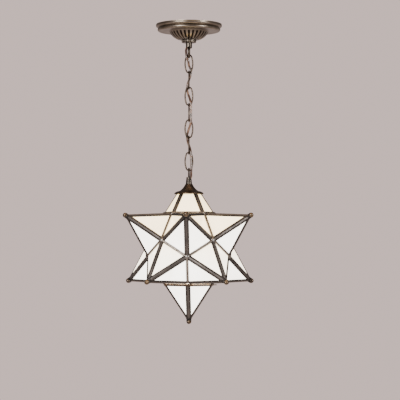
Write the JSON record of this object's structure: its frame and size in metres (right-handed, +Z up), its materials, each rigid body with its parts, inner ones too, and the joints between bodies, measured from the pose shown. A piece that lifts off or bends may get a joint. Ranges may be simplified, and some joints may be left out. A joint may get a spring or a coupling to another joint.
{
  "type": "moravian star pendant",
  "caption": "Star-shaped opal glass pendant light in bronze cames, hung by a chain with a woven-in cord from a round fluted ceiling canopy.",
  "frame": {"origin": "middle of the canopy rim and of the crossbar top face, on the ceiling plane", "axes": "+Z up into the ceiling, -Y towards the viewer of the picture, +X to the viewer's right"},
  "size_m": [0.26, 0.2692, 0.5938],
  "materials": {
    "antique_pewter": "antique pewter-bronze plate, satin with dark lines",
    "chain_bronze": "antique bronze plated steel wire",
    "cap_bronze": "brown bronze, satin",
    "came_bronze": "dark patinated came, satin",
    "gilt_bronze": "lighter bronze, satin",
    "solder": "grey tin solder, satin",
    "opal_glass": "opal sheet glass, glossy",
    "zinc_steel": "zinc plate",
    "green_steel": "green plated screw",
    "cord_jacket": "clear gold jacket over copper",
    "socket_brass": "polished brass",
    "spring_brass": "spring brass",
    "socket_ceramic": "glazed porcelain",
    "bulb_aluminium": "pressed shell",
    "frosted_bulb": "frosted bulb glass"
  },
  "bodies": {
    "ceiling_mount": {"canopy": "antique_pewter", "crossbar": "zinc_steel", "ground_screw": "green_steel", "canopy_nipple": "zinc_steel", "nipple_locknut": "zinc_steel", "canopy_loop": "antique_pewter", "lamp_cord": "cord_jacket"},
    "collar": {"loop_collar": "antique_pewter"},
    "link_1": {"chain_link_1": "chain_bronze"},
    "link_2": {"chain_link_2": "chain_bronze"},
    "link_3": {"chain_link_3": "chain_bronze"},
    "link_4": {"chain_link_4": "chain_bronze"},
    "link_5": {"chain_link_5": "chain_bronze"},
    "link_6": {"chain_link_6": "chain_bronze"},
    "link_7": {"chain_link_7": "chain_bronze"},
    "star": {"point_cames_lower_1": "came_bronze", "point_cames_lower_2": "came_bronze", "point_cames_lower_3": "came_bronze", "point_cames_lower_4": "came_bronze", "point_cames_lower_5": "came_bronze", "point_cames_top": "came_bronze", "point_cames_upper_1": "came_bronze", "point_cames_upper_2": "came_bronze", "point_cames_upper_3": "came_bronze", "point_cames_upper_4": "came_bronze", "point_cames_upper_5": "came_bronze", "point_glass_lower_1": "opal_glass", "point_glass_lower_2": "opal_glass", "point_glass_lower_3": "opal_glass", "point_glass_lower_4": "opal_glass", "point_glass_lower_5": "opal_glass", "point_glass_top": "opal_glass", "point_glass_upper_1": "opal_glass", "point_glass_upper_2": "opal_glass", "point_glass_upper_3": "opal_glass", "point_glass_upper_4": "opal_glass", "point_glass_upper_5": "opal_glass", "valley_cames": "came_bronze", "opening_frame": "came_bronze", "solder_beads": "solder", "tip_balls": "came_bronze", "hinge_rod": "gilt_bronze", "star_loop": "cap_bronze", "top_cap": "cap_bronze", "cap_plate": "zinc_steel", "cap_locknut": "zinc_steel", "socket_cap": "socket_brass", "socket_shell": "socket_brass", "socket_block": "socket_ceramic", "socket_screw_shell": "socket_brass", "socket_contact": "spring_brass"},
    "access_point": {"access_glass": "opal_glass", "access_cames": "came_bronze", "access_base_frame": "gilt_bronze", "access_tip_ball": "came_bronze", "hinge_tube": "gilt_bronze", "catch_tongue": "spring_brass"},
    "bulb": {"bulb_base": "bulb_aluminium", "bulb_glass": "frosted_bulb"}
  },
  "joints": [
    {"name": "collar_turn", "type": "hinge", "parent": "ceiling_mount", "child": "collar", "pos_m": [0, 0, -0.034], "axis": [0, 0, 1], "continuous": true},
    {"name": "link_1_swing", "type": "hinge", "parent": "ceiling_mount", "child": "link_1", "pos_m": [0, 0, -0.06485], "axis": [0, 1, 0], "range_deg": [-15, 15], "deforming": ["lamp_cord"]},
    {"name": "link_2_swing", "type": "hinge", "parent": "link_1", "child": "link_2", "pos_m": [0, 0, -0.09595], "axis": [1, 0, 0], "range_deg": [-15, 15]},
    {"name": "link_3_swing", "type": "hinge", "parent": "link_2", "child": "link_3", "pos_m": [0, 0, -0.12825], "axis": [0, 1, 0], "range_deg": [-15, 15]},
    {"name": "link_4_swing", "type": "hinge", "parent": "link_3", "child": "link_4", "pos_m": [0, 0, -0.16055], "axis": [1, 0, 0], "range_deg": [-15, 15]},
    {"name": "link_5_swing", "type": "hinge", "parent": "link_4", "child": "link_5", "pos_m": [0, 0, -0.19285], "axis": [0, 1, 0], "range_deg": [-15, 15]},
    {"name": "link_6_swing", "type": "hinge", "parent": "link_5", "child": "link_6", "pos_m": [0, 0, -0.22515], "axis": [1, 0, 0], "range_deg": [-15, 15]},
    {"name": "link_7_swing", "type": "hinge", "parent": "link_6", "child": "link_7", "pos_m": [0, 0, -0.25745], "axis": [0, 1, 0], "range_deg": [-15, 15]},
    {"name": "star_swing", "type": "hinge", "parent": "link_7", "child": "star", "pos_m": [0, 0, -0.28975], "axis": [1, 0, 0], "range_deg": [-15, 15]},
    {"name": "access_hinge", "type": "hinge", "parent": "star", "child": "access_point", "pos_m": [0.02402, -0.03616, -0.51539], "axis": [-0.8329, -0.5534, 0], "range_deg": [0, 95]},
    {"name": "bulb_turn", "type": "hinge", "parent": "star", "child": "bulb", "pos_m": [0, 0, -0.42], "axis": [0, 0, 1], "continuous": true}
  ]
}
